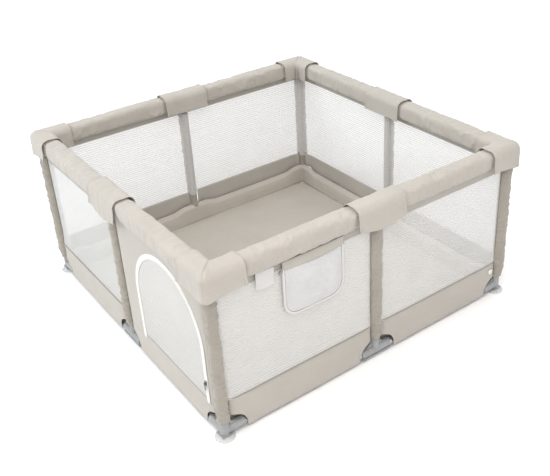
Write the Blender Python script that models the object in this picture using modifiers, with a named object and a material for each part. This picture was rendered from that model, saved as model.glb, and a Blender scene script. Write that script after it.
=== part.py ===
"""Square fabric playpen: a push-fit steel tube frame, plastic joints, padded rails and a sewn mesh tub.

Frame: metres, +Z up, origin on the floor under the middle of the playpen.
The door is in the right half of the front side (-Y) and the toy pocket is on the right side (+X).
Everything that repeats is modelled once for the front side or the front left corner and turned
about Z in quarter turns.
"""

import math

import bmesh
import bpy
from mathutils import Matrix, Vector

# Overall sizes
SIDE = 1.270  # outside width over the corner covers, both ways
HEIGHT = 0.610  # floor to the top of the covers

# Clearances
FIT = 0.0004  # radial gap of a push fit
END_GAP = 0.0006  # gap at the end of a tube or between two parts that meet
DOOR_GAP = 0.0030  # between the door panel and its surround, where the zip lies

# Steel tubes
TUBE_R = 0.0125
TUBE_WALL = 0.0008
ROUND = 12  # sides of a tube and of what fits to it

# Padded rails and the covers over their joints
PAD_WIDTH = 0.068
PAD_ROUND = 0.023
PAD_FIT = 0.0010  # gap between a pad and the cover around it
COVER_WALL = 0.0030
COVER_DROP = 0.084  # height of a cover, crown to hem
CORNER_ARM = 0.100  # reach of a corner cover along each rail, from the post's axis
MID_COVER_LENGTH = 0.186
PAD_MID_GAP = 0.024  # from the middle of a side to the end of a pad

# Plastic joints
SOCKET_WALL = 0.0033
SPIGOT_LENGTH = 0.034
SPIGOT_TAPER = 0.005
SPIGOT_TIP = 0.84  # of the spigot's radius
ELBOW_SIZE = 0.034
ELBOW_EDGE = 0.005
TEE_LENGTH = 0.044
TEE_SHOULDER = 0.0018  # below the tee's sleeve, where the mid post ends
BASE_THICKNESS = 0.004
CORNER_SOCKET_TOP = 0.064
MID_SOCKET_DEPTH = 0.030
FOOT_REACH = 0.068  # length of a corner foot's level sockets, from the post's axis
MID_FOOT_REACH = 0.061
WEB_THICKNESS = 0.008
WEB_SINK = 0.002  # how far a web runs into the sockets it joins
WEB_STEPS = 6
BASE_WIDTH = 0.036
MID_BASE_WIDTH = 0.029
OVERRUN = 1.2  # cutters run past the faces they cut

# Suction cups
CUP_R = 0.033
CUP_HEIGHT = 0.010  # floor to the underside of a foot
CUP_LIP = 0.003
CUP_NECK_R = 0.0046
CUP_HEAD_R = 0.0066
CUP_HEAD = 0.0032
CUP_STEPS = 16

# Sewn tub
CLOTH = 0.002
TUB_GAP = 0.001  # between a tube and the cloth outside it
HEM_Z = 0.012
FOOT_CUT_WIDTH = 0.150  # of the cut-out in the cloth over each foot
FOOT_CUT_GAP = 0.004  # from the top of a foot to the top of its cut-out
FOOT_CUT_ROUND = 0.7  # radius of the cut-out's shoulders over its half width
MAT_THICKNESS = 0.003
MAT_Z = 0.003
MAT_NOTCH = 0.040  # the mat's corners are cut off by this much, clear of the cups

# Door: an arch with straight legs
ARCH_CENTRE_X = 0.343
ARCH_R = 0.206
ARCH_SPRING_Z = 0.298  # where the legs end and the half circle starts
SILL_Z = 0.106
ARCH_STEPS = 20
SLIDER_Z = 0.185

# Toy pocket
POCKET_Y = -0.252
POCKET_TOP_Z = 0.508
POCKET_WIDTH = 0.217
POCKET_HEIGHT = 0.168
POCKET_DEPTH = 0.018
POCKET_ROUND = 0.050

# Zip slider and pull
SLIDER_SIZE = (0.0095, 0.0046, 0.0150)
BRIDGE_WIDTH = 0.0030
BRIDGE_HEIGHT = 0.0084
BRIDGE_DEPTH = 0.0042
BRIDGE_WALL = 0.0014
PULL_WIDTH = 0.0084
PULL_LENGTH = 0.0260
PULL_THICKNESS = 0.0013
PULL_SLOT = (0.0042, 0.0052)
SLIDER_STANDOFF = 0.0008

# Worked out from the sizes above
COVER_HALF = PAD_WIDTH / 2 + PAD_FIT + COVER_WALL
AXIS = SIDE / 2 - COVER_HALF  # post and rail axes, from the middle
RAIL_Z = HEIGHT - COVER_HALF
SOCKET_R = TUBE_R + FIT + SOCKET_WALL
BORE_R = TUBE_R + FIT
SPIGOT_R = TUBE_R - TUBE_WALL - FIT
TEE_DROP = SOCKET_R + TEE_SHOULDER
TUBE_STOP = SOCKET_R + TUBE_WALL  # from a corner foot's axis to the floor of its level sockets
LOW_RAIL_Z = CUP_HEIGHT + BASE_THICKNESS + BORE_R
MID_SOCKET_FLOOR = LOW_RAIL_Z + BORE_R + BASE_THICKNESS
FOOT_CUT_TOP = max(CORNER_SOCKET_TOP, MID_SOCKET_FLOOR + MID_SOCKET_DEPTH) + FOOT_CUT_GAP
CLOTH_IN = AXIS + TUBE_R + TUB_GAP  # inner face of the tub's walls, from the middle
CLOTH_OUT = CLOTH_IN + CLOTH
CLOTH_TOP = RAIL_Z - PAD_WIDTH / 2 - END_GAP
HEM_COVER_Z = HEIGHT - COVER_DROP
ZIP_X = ARCH_CENTRE_X + ARCH_R - DOOR_GAP / 2

SIDES = ("front", "right", "back", "left")
CORNERS = ("front_left", "front_right", "back_right", "back_left")

COLOURS = {
    "steel": ((0.62, 0.63, 0.64), 0.35, 1.0),
    "grey_plastic": ((0.52, 0.53, 0.55), 0.45, 0.0),
    "clear_rubber": ((0.78, 0.80, 0.80), 0.30, 0.0),
    "beige_cloth": ((0.66, 0.60, 0.51), 0.90, 0.0),
    "white_mesh": ((0.86, 0.86, 0.85), 0.85, 0.0),
    "white_cloth": ((0.88, 0.88, 0.87), 0.85, 0.0),
    "zip_metal": ((0.55, 0.55, 0.56), 0.30, 1.0),
}


# ---------------------------------------------------------------- tools


def clear_scene():
    for obj in list(bpy.data.objects):
        bpy.data.objects.remove(obj)


def materials():
    made = {}
    for name, (colour, roughness, metallic) in COLOURS.items():
        material = bpy.data.materials.new(name)
        material.use_nodes = True
        shader = material.node_tree.nodes["Principled BSDF"]
        shader.inputs["Base Color"].default_value = (*colour, 1.0)
        shader.inputs["Roughness"].default_value = roughness
        shader.inputs["Metallic"].default_value = metallic
        made[name] = material
    return made


def quarter(turns):
    """A turn about Z by a number of quarter turns."""
    return Matrix.Rotation(turns * math.pi / 2, 4, "Z")


def add_part(name, mesh, material, matrix=None, smooth=True):
    """One named object of the playpen."""
    if not mesh.materials:
        mesh.materials.append(MATERIALS[material])
    if smooth:
        mesh.shade_smooth()
        mesh.set_sharp_from_angle(angle=math.radians(35))
    obj = bpy.data.objects.new(name, mesh)
    obj.matrix_world = matrix or Matrix.Identity(4)
    PARTS.objects.link(obj)
    return obj


def helper(mesh):
    """A hidden object, for a mesh that a modifier reads or changes."""
    obj = bpy.data.objects.new("helper", mesh)
    obj.hide_render = True
    obj.display_type = "WIRE"
    CUTTERS.objects.link(obj)
    return obj


def baked(obj, weld=False):
    """The object's evaluated mesh. The object is removed."""
    bpy.context.view_layer.update()
    graph = bpy.context.evaluated_depsgraph_get()
    mesh = bpy.data.meshes.new_from_object(obj.evaluated_get(graph))
    mesh.transform(obj.matrix_world)
    bpy.data.objects.remove(obj)
    if weld:
        work = bmesh.new()
        work.from_mesh(mesh)
        bmesh.ops.remove_doubles(work, verts=work.verts, dist=1e-6)
        bmesh.ops.recalc_face_normals(work, faces=work.faces)
        work.to_mesh(mesh)
        work.free()
    return mesh


def combined(base, unions=(), cuts=()):
    """The base mesh with others joined to it and then others cut from it."""
    obj = helper(base)
    others = []
    for operation, meshes in (("UNION", unions), ("DIFFERENCE", cuts)):
        for mesh in meshes:
            other = helper(mesh)
            others.append(other)
            modifier = obj.modifiers.new(operation.lower(), "BOOLEAN")
            modifier.operation = operation
            modifier.object = other
    mesh = baked(obj)
    for other in others:
        bpy.data.objects.remove(other)
    return mesh


def with_bevel(mesh, width, segments=2):
    obj = helper(mesh)
    modifier = obj.modifiers.new("bevel", "BEVEL")
    modifier.width = width
    modifier.segments = segments
    return baked(obj)


def box(low, high, edge=0.0):
    """A box between two corners, with its edges rounded if asked."""
    work = bmesh.new()
    bmesh.ops.create_cube(work, size=1.0)
    size = Vector(high) - Vector(low)
    bmesh.ops.scale(work, vec=size, verts=work.verts)
    bmesh.ops.translate(work, vec=Vector(low) + size / 2, verts=work.verts)
    mesh = bpy.data.meshes.new("box")
    work.to_mesh(mesh)
    work.free()
    return with_bevel(mesh, edge) if edge else mesh


AXIS_TURNS = {
    "X": Matrix.Rotation(math.pi / 2, 4, "Y"),
    "Y": Matrix.Rotation(-math.pi / 2, 4, "X"),
    "Z": Matrix.Identity(4),
}
DOWN = Matrix.Rotation(math.pi, 4, "X")


def cylinder(radius, start, end, axis, at=(0.0, 0.0, 0.0)):
    """A round bar along an axis, from start to end on it. at sets the other two coordinates."""
    work = bmesh.new()
    bmesh.ops.create_cone(
        work,
        cap_ends=True,
        segments=ROUND,
        radius1=radius,
        radius2=radius,
        depth=end - start,
    )
    middle = Vector((0.0, 0.0, 0.0))
    middle["XYZ".index(axis)] = (start + end) / 2
    matrix = Matrix.Translation(Vector(at) + middle) @ AXIS_TURNS[axis]
    bmesh.ops.transform(work, matrix=matrix, verts=work.verts)
    mesh = bpy.data.meshes.new("cylinder")
    work.to_mesh(mesh)
    work.free()
    return mesh


def prism(outlines, depth, matrix=None):
    """Flat outlines, the later ones holes in the first, as a plate of that thickness about Z = 0."""
    curve = bpy.data.curves.new("outline", "CURVE")
    curve.dimensions = "2D"
    curve.fill_mode = "BOTH"
    curve.extrude = depth / 2
    for points in outlines:
        spline = curve.splines.new("POLY")
        spline.points.add(len(points) - 1)
        for point, (x, y) in zip(spline.points, points):
            point.co = (x, y, 0.0, 1.0)
        spline.use_cyclic_u = True
    mesh = baked(helper(curve), weld=True)
    if matrix:
        mesh.transform(matrix)
    return mesh


def turned(profile, steps):
    """A profile of (radius, z) points turned about Z. It runs down the outer side.

    A profile that returns to its first point is a ring's section.
    """
    is_ring = profile[0] == profile[-1]
    points = profile[:-1] if is_ring else profile
    edges = [(i, i + 1) for i in range(len(points) - 1)]
    if is_ring:
        edges.append((len(points) - 1, 0))
    mesh = bpy.data.meshes.new("profile")
    mesh.from_pydata([(r, 0.0, z) for r, z in points], edges, [])
    obj = helper(mesh)
    screw = obj.modifiers.new("turn", "SCREW")
    screw.axis = "Z"
    screw.steps = screw.render_steps = steps
    screw.use_merge_vertices = True
    screw.merge_threshold = 1e-5
    return baked(obj)


def arc(cx, cy, radius, start, end, steps):
    """Points along an arc, both ends included. Angles are in degrees."""
    turns = [math.radians(start + (end - start) * i / steps) for i in range(steps + 1)]
    return [(cx + radius * math.cos(a), cy + radius * math.sin(a)) for a in turns]


def rounded(left, bottom, right, top, low_r, high_r, steps=4):
    """A rectangle's outline with rounded lower and upper corners, anticlockwise."""
    points = arc(right - low_r, bottom + low_r, low_r, -90, 0, steps)
    points += arc(right - high_r, top - high_r, high_r, 0, 90, steps)
    points += arc(left + high_r, top - high_r, high_r, 90, 180, steps)
    return points + arc(left + low_r, bottom + low_r, low_r, 180, 270, steps)


# Turns a plate drawn in XY so that its X stays and its Y points up: it stands facing the front.
STANDING = Matrix.Rotation(math.pi / 2, 4, "X")
# Turns a plate drawn in XY so that its X points to +Y and its Y points up: a section across X.
ACROSS_X = Matrix(((0, 0, 1, 0), (1, 0, 0, 0), (0, 1, 0, 0), (0, 0, 0, 1)))


# ---------------------------------------------------------------- steel tubes


def tube_mesh(length):
    """A tube along Z from 0 to its length."""
    inner = TUBE_R - TUBE_WALL
    loop = [(TUBE_R, length), (TUBE_R, 0.0), (inner, 0.0), (inner, length), (TUBE_R, length)]
    return turned(loop, ROUND)


def add_tubes():
    long_start = AXIS - TUBE_STOP - END_GAP
    low = tube_mesh(2 * long_start)
    top_start = AXIS - ELBOW_SIZE / 2 - END_GAP
    top = tube_mesh(2 * top_start)
    for turn, side in enumerate(SIDES):
        for name, mesh, start, z in (
            ("bottom_tube_", low, long_start, LOW_RAIL_Z),
            ("top_tube_", top, top_start, RAIL_Z),
        ):
            place = Matrix.Translation((-start, -AXIS, z)) @ AXIS_TURNS["X"]
            add_part(name + side, mesh, "steel", quarter(turn) @ place)

    corner_low = CUP_HEIGHT + BASE_THICKNESS + CUP_HEAD + 4 * END_GAP
    corner_post = tube_mesh(RAIL_Z - ELBOW_SIZE / 2 - END_GAP - corner_low)
    mid_low = MID_SOCKET_FLOOR + END_GAP
    mid_post = tube_mesh(RAIL_Z - TEE_DROP - END_GAP - mid_low)
    for turn in range(4):
        place = Matrix.Translation((-AXIS, -AXIS, corner_low))
        add_part("post_" + CORNERS[turn], corner_post, "steel", quarter(turn) @ place)
        place = Matrix.Translation((0.0, -AXIS, mid_low))
        add_part("post_mid_" + SIDES[turn], mid_post, "steel", quarter(turn) @ place)


# ---------------------------------------------------------------- joints under the covers


def spigot(start, matrix):
    """A bar that a tube's end fits over, along Z before the matrix, with a tapered tip."""
    tip = start + SPIGOT_LENGTH
    taper = (SPIGOT_R * SPIGOT_TIP, tip), (SPIGOT_R, tip - SPIGOT_TAPER)
    mesh = turned([(0.0, tip), *taper, (SPIGOT_R, 0.0), (0.0, 0.0)], ROUND)
    mesh.transform(matrix)
    return mesh


def elbow_mesh():
    """Three-way corner joint: spigots towards +X, +Y and down."""
    half = ELBOW_SIZE / 2
    hub = box((-half, -half, -half), (half, half, half), ELBOW_EDGE)
    ways = (AXIS_TURNS["X"], AXIS_TURNS["Y"], DOWN)
    return combined(hub, unions=[spigot(half, way) for way in ways])


def tee_mesh():
    """Sleeve round the middle of a top tube, along X, with a spigot down into the mid post."""
    half = TEE_LENGTH / 2
    sleeve = cylinder(SOCKET_R, -half, half, "X")
    collar = cylinder(SOCKET_R - FIT, -TEE_DROP, 0.0, "Z")
    bore = cylinder(BORE_R, -half * OVERRUN, half * OVERRUN, "X")
    return combined(sleeve, unions=[collar, spigot(TEE_DROP, DOWN)], cuts=[bore])


def add_top_joints():
    elbow, tee = elbow_mesh(), tee_mesh()
    for turn in range(4):
        place = Matrix.Translation((-AXIS, -AXIS, RAIL_Z))
        add_part("top_elbow_" + CORNERS[turn], elbow, "grey_plastic", quarter(turn) @ place)
        place = Matrix.Translation((0.0, -AXIS, RAIL_Z))
        add_part("top_tee_" + SIDES[turn], tee, "grey_plastic", quarter(turn) @ place)


# ---------------------------------------------------------------- feet


def web_edge(reach, top):
    """Hollow curve from the end of a foot's level socket up to the top of its upright one."""
    width = reach - SOCKET_R
    height = top - LOW_RAIL_Z - SOCKET_R + WEB_SINK
    unit_arc = arc(0.0, 0.0, 1.0, 270, 180, WEB_STEPS)
    return [(reach - WEB_SINK + x * width, top + z * height) for x, z in unit_arc]


def web(reach, top, matrix):
    """Web in the corner between a foot's upright socket and one level socket."""
    top -= WEB_SINK
    points = [(0.0, LOW_RAIL_Z), (reach - WEB_SINK, LOW_RAIL_Z), *web_edge(reach, top), (0.0, top)]
    return prism([points], WEB_THICKNESS, matrix @ STANDING)


def double_web(reach, top):
    """Web on both sides of a foot's upright socket."""
    top -= WEB_SINK
    right = [(reach - WEB_SINK, LOW_RAIL_Z), *web_edge(reach, top)]
    left = [(-x, z) for x, z in reversed(right)]
    return prism([right + left], WEB_THICKNESS, STANDING)


def corner_foot_mesh():
    """Foot under a corner post, at its own axis: level sockets towards +X and +Y."""
    base_z, floor = CUP_HEIGHT, CUP_HEIGHT + BASE_THICKNESS
    half = BASE_WIDTH / 2
    upright = cylinder(SOCKET_R, base_z, CORNER_SOCKET_TOP, "Z")
    joined = [
        cylinder(SOCKET_R, 0.0, FOOT_REACH, "X", at=(0.0, 0.0, LOW_RAIL_Z)),
        cylinder(SOCKET_R, 0.0, FOOT_REACH, "Y", at=(0.0, 0.0, LOW_RAIL_Z)),
        web(FOOT_REACH, CORNER_SOCKET_TOP, Matrix.Identity(4)),
        web(FOOT_REACH, CORNER_SOCKET_TOP, quarter(1)),
        box((-half, -half, base_z), (half, half, floor)),
    ]
    cuts = [
        cylinder(BORE_R, floor, CORNER_SOCKET_TOP * OVERRUN, "Z"),
        cylinder(BORE_R, TUBE_STOP, FOOT_REACH * OVERRUN, "X", at=(0.0, 0.0, LOW_RAIL_Z)),
        cylinder(BORE_R, TUBE_STOP, FOOT_REACH * OVERRUN, "Y", at=(0.0, 0.0, LOW_RAIL_Z)),
        cylinder(CUP_NECK_R + 2 * FIT, base_z / OVERRUN, floor * OVERRUN, "Z"),
    ]
    return combined(upright, unions=joined, cuts=cuts)


def mid_foot_mesh():
    """Foot under a mid post, on the post's axis: the bottom tube runs through it along X."""
    half = MID_BASE_WIDTH / 2
    top = MID_SOCKET_FLOOR + MID_SOCKET_DEPTH
    upright = cylinder(SOCKET_R, LOW_RAIL_Z - TUBE_WALL, top, "Z")
    joined = [
        cylinder(SOCKET_R, -MID_FOOT_REACH, MID_FOOT_REACH, "X", at=(0.0, 0.0, LOW_RAIL_Z)),
        double_web(MID_FOOT_REACH, top),
        box(
            (-MID_FOOT_REACH, -half, CUP_HEIGHT),
            (MID_FOOT_REACH, half, CUP_HEIGHT + BASE_THICKNESS),
        ),
    ]
    reach = MID_FOOT_REACH * OVERRUN
    cuts = [
        cylinder(BORE_R, MID_SOCKET_FLOOR, top * OVERRUN, "Z"),
        cylinder(BORE_R, -reach, reach, "X", at=(0.0, 0.0, LOW_RAIL_Z)),
    ]
    return combined(upright, unions=joined, cuts=cuts)


def cup_mesh():
    """Suction cup on its own axis: rim on the floor, neck through the foot and a snap-in head."""
    head_z = CUP_HEIGHT + BASE_THICKNESS + END_GAP
    shoulder_z = CUP_HEIGHT - END_GAP
    profile = [
        (0.0, head_z + CUP_HEAD),
        (CUP_HEAD_R * 0.8, head_z + CUP_HEAD),
        (CUP_HEAD_R, head_z),
        (CUP_NECK_R, head_z),
        (CUP_NECK_R, shoulder_z),
        (CUP_R * 0.30, shoulder_z),
        (CUP_R * 0.55, shoulder_z * 0.80),
        (CUP_R * 0.82, shoulder_z * 0.40),
        (CUP_R, shoulder_z * 0.12),
        (CUP_R, 0.0),
        (CUP_R - CUP_LIP, 0.0),
        (CUP_R * 0.62, shoulder_z * 0.34),
        (CUP_R * 0.30, shoulder_z * 0.54),
        (0.0, shoulder_z * 0.60),
    ]
    return turned(profile, CUP_STEPS)


def add_feet():
    corner, mid, cup = corner_foot_mesh(), mid_foot_mesh(), cup_mesh()
    for turn in range(4):
        at_corner = quarter(turn) @ Matrix.Translation((-AXIS, -AXIS, 0.0))
        at_middle = quarter(turn) @ Matrix.Translation((0.0, -AXIS, 0.0))
        add_part("corner_foot_" + CORNERS[turn], corner, "grey_plastic", at_corner)
        add_part("mid_foot_" + SIDES[turn], mid, "grey_plastic", at_middle)
        add_part("suction_cup_" + CORNERS[turn], cup, "clear_rubber", at_corner)


# ---------------------------------------------------------------- padded rails and covers


def pad_outline(grow=0.0):
    half = PAD_WIDTH / 2 + grow
    return rounded(-half, -half, half, half, PAD_ROUND + grow, PAD_ROUND + grow)


def add_pads():
    """Two foam sleeves on each side's top tube, with the tube through them."""
    start, end = PAD_MID_GAP, AXIS - PAD_WIDTH / 2 - END_GAP
    length = end - start
    bore = arc(0.0, 0.0, TUBE_R + FIT, 0, 360 - 360 / ROUND, ROUND - 1)
    mesh = prism([pad_outline(), bore], length, ACROSS_X)
    for turn, side in enumerate(SIDES):
        for number, sign in ((1, -1), (2, 1)):
            place = Matrix.Translation((sign * (start + length / 2), -AXIS, RAIL_Z))
            add_part(f"rail_pad_{side}_{number}", mesh, "beige_cloth", quarter(turn) @ place)


def saddle(start, end, grow, low, axis):
    """The space inside an inverted U over a rail along X or Y, from start to end on its axis."""
    half = PAD_WIDTH / 2 + PAD_FIT + grow
    top_round = PAD_ROUND + PAD_FIT + grow
    outline = rounded(-half, low, half, half, 0.002, top_round, 3)
    middle = Matrix.Translation(((start + end) / 2, 0.0, 0.0))
    turn = quarter(1) if axis == "Y" else Matrix.Identity(4)
    return prism([outline], end - start, turn @ middle @ ACROSS_X)


def corner_cover_mesh():
    """Sewn corner: two saddles that meet over the post, open below and at the rails."""
    hem = HEM_COVER_Z - RAIL_Z
    reach = CORNER_ARM
    outer_x = saddle(-COVER_HALF, reach, COVER_WALL, hem, "X")
    outer_y = saddle(-COVER_HALF, reach, COVER_WALL, hem, "Y")
    inner_half = COVER_HALF - COVER_WALL
    cuts = [
        saddle(-inner_half, reach * OVERRUN, 0.0, hem * OVERRUN, "X"),
        saddle(-inner_half, reach * OVERRUN, 0.0, hem * OVERRUN, "Y"),
    ]
    return combined(outer_x, unions=[outer_y], cuts=cuts)


def mid_cover_mesh():
    """Sewn sleeve over the joint in the middle of a side, open below."""
    half, hem = MID_COVER_LENGTH / 2, HEM_COVER_Z - RAIL_Z
    outer = saddle(-half, half, COVER_WALL, hem, "X")
    inside = saddle(-half * OVERRUN, half * OVERRUN, 0.0, hem * OVERRUN, "X")
    return combined(outer, cuts=[inside])


def add_covers():
    corner, mid = corner_cover_mesh(), mid_cover_mesh()
    for turn in range(4):
        place = Matrix.Translation((-AXIS, -AXIS, RAIL_Z))
        add_part("corner_cover_" + CORNERS[turn], corner, "beige_cloth", quarter(turn) @ place)
        place = Matrix.Translation((0.0, -AXIS, RAIL_Z))
        add_part("mid_cover_" + SIDES[turn], mid, "beige_cloth", quarter(turn) @ place)


# ---------------------------------------------------------------- sewn tub


# The middle, left and right feet of the front side, in the plane of the cloth
FOOT_PLACES = [Matrix.Translation((x, -CLOTH_IN, 0.0)) for x in (0.0, -AXIS, AXIS)]


def foot_cut(matrix):
    """Cutter for the arched cut-out in the cloth over a foot."""
    half = FOOT_CUT_WIDTH / 2
    outline = rounded(-half, 0.0, half, FOOT_CUT_TOP, FOOT_CUT_GAP, half * FOOT_CUT_ROUND, 5)
    return prism([outline], FOOT_CUT_WIDTH / 4, matrix @ STANDING)


def wall_path():
    """Plan of the mesh wall's inner face: the front's left half, then left, back and right."""
    far = CLOTH_IN
    r = far - AXIS
    path = [(-END_GAP, -far)]
    for turn, (x, y) in enumerate(((-1, -1), (-1, 1), (1, 1))):
        start = 270 - 90 * turn
        path += arc(x * (far - r), y * (far - r), r, start, start - 90, 4)
    path.append((far, -CLOTH_OUT))
    return path


def mesh_wall_mesh():
    work = bmesh.new()
    low = [work.verts.new((x, y, HEM_Z)) for x, y in wall_path()]
    edges = [work.edges.new(pair) for pair in zip(low, low[1:])]
    top = bmesh.ops.extrude_edge_only(work, edges=edges)["geom"]
    raised = [item for item in top if isinstance(item, bmesh.types.BMVert)]
    bmesh.ops.translate(work, vec=(0.0, 0.0, CLOTH_TOP - HEM_Z), verts=raised)
    bmesh.ops.recalc_face_normals(work, faces=work.faces)
    mesh = bpy.data.meshes.new("mesh_wall")
    work.to_mesh(mesh)
    work.free()
    obj = helper(mesh)
    solidify = obj.modifiers.new("cloth", "SOLIDIFY")
    solidify.thickness = CLOTH
    solidify.offset = outward_offset(mesh)
    solidify.use_even_offset = True
    sheet = baked(obj)

    cuts = [foot_cut(quarter(turn) @ place) for turn in range(4) for place in FOOT_PLACES]
    return combined(sheet, cuts=cuts)


def outward_offset(mesh):
    """1 if the sheet's normals point away from the middle of the playpen, or -1."""
    face = mesh.polygons[0]
    return 1.0 if face.normal.xy.dot(face.center.xy) > 0 else -1.0


def outward(mesh):
    """Turns a closed mesh's faces outward, as after a mirroring matrix."""
    work = bmesh.new()
    work.from_mesh(mesh)
    bmesh.ops.recalc_face_normals(work, faces=work.faces)
    work.to_mesh(mesh)
    work.free()


def arch_outline(grow=0.0):
    """The door's outline in X and Z, straight legs under a half circle, anticlockwise."""
    half = ARCH_R + grow
    top = arc(ARCH_CENTRE_X, ARCH_SPRING_Z, half, 0, 180, ARCH_STEPS)
    return [(ARCH_CENTRE_X + half, SILL_Z - grow), *top, (ARCH_CENTRE_X - half, SILL_Z - grow)]


def door_surround_mesh():
    """Cloth bay round the door, from the front's mid post to its right corner."""
    left, right = END_GAP, CLOTH_IN - END_GAP
    bay = [(left, HEM_Z), (right, HEM_Z), (right, CLOTH_TOP), (left, CLOTH_TOP)]
    middle = Matrix.Translation((0.0, -(CLOTH_IN + CLOTH_OUT) / 2, 0.0))
    sheet = prism([bay, arch_outline()], CLOTH, middle @ STANDING)
    return combined(sheet, cuts=[foot_cut(place) for place in FOOT_PLACES])


def door_panel_mesh():
    middle = Matrix.Translation((0.0, -(CLOTH_IN + CLOTH_OUT) / 2, 0.0))
    return prism([arch_outline(-DOOR_GAP)], CLOTH, middle @ STANDING)


def floor_mat_mesh():
    """Square mat with its corners cut off, clear of the suction cups."""
    half = AXIS - SOCKET_R - END_GAP
    cut = half - MAT_NOTCH
    corner = [(cut, -half), (half, -cut)]
    points = []
    for turn in range(4):
        turned_corner = [quarter(turn) @ Vector((x, y, 0.0)) for x, y in corner]
        points += [(p.x, p.y) for p in turned_corner]
    place = Matrix.Translation((0.0, 0.0, MAT_Z + MAT_THICKNESS / 2))
    return prism([points], MAT_THICKNESS, place)


def add_tub():
    add_part("mesh_wall", mesh_wall_mesh(), "white_mesh")
    add_part("door_surround", door_surround_mesh(), "beige_cloth")
    add_part("door_panel", door_panel_mesh(), "white_mesh")
    add_part("floor_mat", floor_mat_mesh(), "beige_cloth")


# ---------------------------------------------------------------- pocket and zip


def pocket_mesh():
    """Tray-shaped pouch, open at the top and against the wall. Its mouth is at Z = 0."""
    half, low = POCKET_WIDTH / 2, -POCKET_HEIGHT
    outline = [(half, 0.0), (-half, 0.0)]
    outline += arc(-half + POCKET_ROUND, low + POCKET_ROUND, POCKET_ROUND, 180, 270, 5)
    outline += arc(half - POCKET_ROUND, low + POCKET_ROUND, POCKET_ROUND, 270, 360, 5)
    work = bmesh.new()
    verts = [work.verts.new((0.0, y, z)) for y, z in outline]
    work.faces.new(verts)
    rim = [edge for edge in work.edges if min(v.co.z for v in edge.verts) < -1e-6]
    made = bmesh.ops.extrude_edge_only(work, edges=rim)["geom"]
    back = [item for item in made if isinstance(item, bmesh.types.BMVert)]
    bmesh.ops.translate(work, vec=(CLOTH - POCKET_DEPTH, 0.0, 0.0), verts=back)
    bmesh.ops.recalc_face_normals(work, faces=work.faces)
    mesh = bpy.data.meshes.new("pocket")
    work.to_mesh(mesh)
    work.free()
    obj = helper(mesh)
    solidify = obj.modifiers.new("cloth", "SOLIDIFY")
    solidify.thickness = CLOTH * 0.9
    solidify.offset = 0.0
    solidify.use_even_offset = True
    return baked(obj)


def slider_mesh():
    """Zip slider on its own axis: a small body with a bridge on its outer face, facing -Y."""
    width, depth, height = SLIDER_SIZE
    half = BRIDGE_HEIGHT / 2
    body = box((-width / 2, -depth, -height / 2), (width / 2, 0.0, height / 2), 0.0012)
    outer = rounded(-half, -0.0012, half, BRIDGE_DEPTH, 0.0003, 0.0016, 3)
    hole_half = half - BRIDGE_WALL
    hole = rounded(-hole_half, 0.0, hole_half, BRIDGE_DEPTH - BRIDGE_WALL, 0.0001, 0.0008, 3)
    # The section is drawn with its X up and its Y away from the wall.
    upright = Matrix(((0, 0, 1, 0), (0, -1, 0, -depth), (1, 0, 0, 0), (0, 0, 0, 1)))
    loop = prism([outer], BRIDGE_WIDTH, upright)
    opening = prism([hole], BRIDGE_WIDTH * 2, upright)
    for mesh in (loop, opening):
        outward(mesh)
    return combined(body, unions=[loop], cuts=[opening])


def pull_mesh():
    """Zip pull about the axis of its top bar: a plate with a slot that goes round the bridge."""
    half, bar = PULL_WIDTH / 2, PULL_THICKNESS
    slot_half = PULL_SLOT[0] / 2
    outline = rounded(-half, -PULL_LENGTH, half, bar / 2, 0.0026, 0.0006, 3)
    slot = rounded(-slot_half, -bar / 2 - PULL_SLOT[1], slot_half, -bar / 2, 0.0008, 0.0002, 2)
    return prism([outline, slot], PULL_THICKNESS, STANDING)


def add_pocket_and_zip():
    place = Matrix.Translation((CLOTH_OUT + POCKET_DEPTH, POCKET_Y, POCKET_TOP_Z))
    add_part("toy_pocket", pocket_mesh(), "white_cloth", place)

    slider_y = -CLOTH_OUT - SLIDER_STANDOFF
    slider = add_part(
        "zip_slider",
        slider_mesh(),
        "zip_metal",
        Matrix.Translation((ZIP_X, slider_y, SLIDER_Z)),
    )
    pull_y = -SLIDER_SIZE[1] - (BRIDGE_DEPTH - BRIDGE_WALL) / 2
    pull = add_part("zip_pull", pull_mesh(), "zip_metal", smooth=False)
    pull.parent = slider
    pull.location = (0.0, pull_y, 0.0)


clear_scene()
MATERIALS = materials()
PARTS = bpy.data.collections.new("playpen")
CUTTERS = bpy.data.collections.new("cutters")
for collection in (PARTS, CUTTERS):
    bpy.context.scene.collection.children.link(collection)

add_tubes()
add_top_joints()
add_feet()
add_pads()
add_covers()
add_tub()
add_pocket_and_zip()
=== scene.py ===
"""Looks of the square fabric playpen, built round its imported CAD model.

Metres, +Z up, the door side at -Y and the pocket side at +X. Everything that repeats is made for the
front side or the front left corner and turned about Z in quarter turns.
"""

import math

import bpy
import numpy as np
from mathutils import Matrix, Vector, noise


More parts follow.
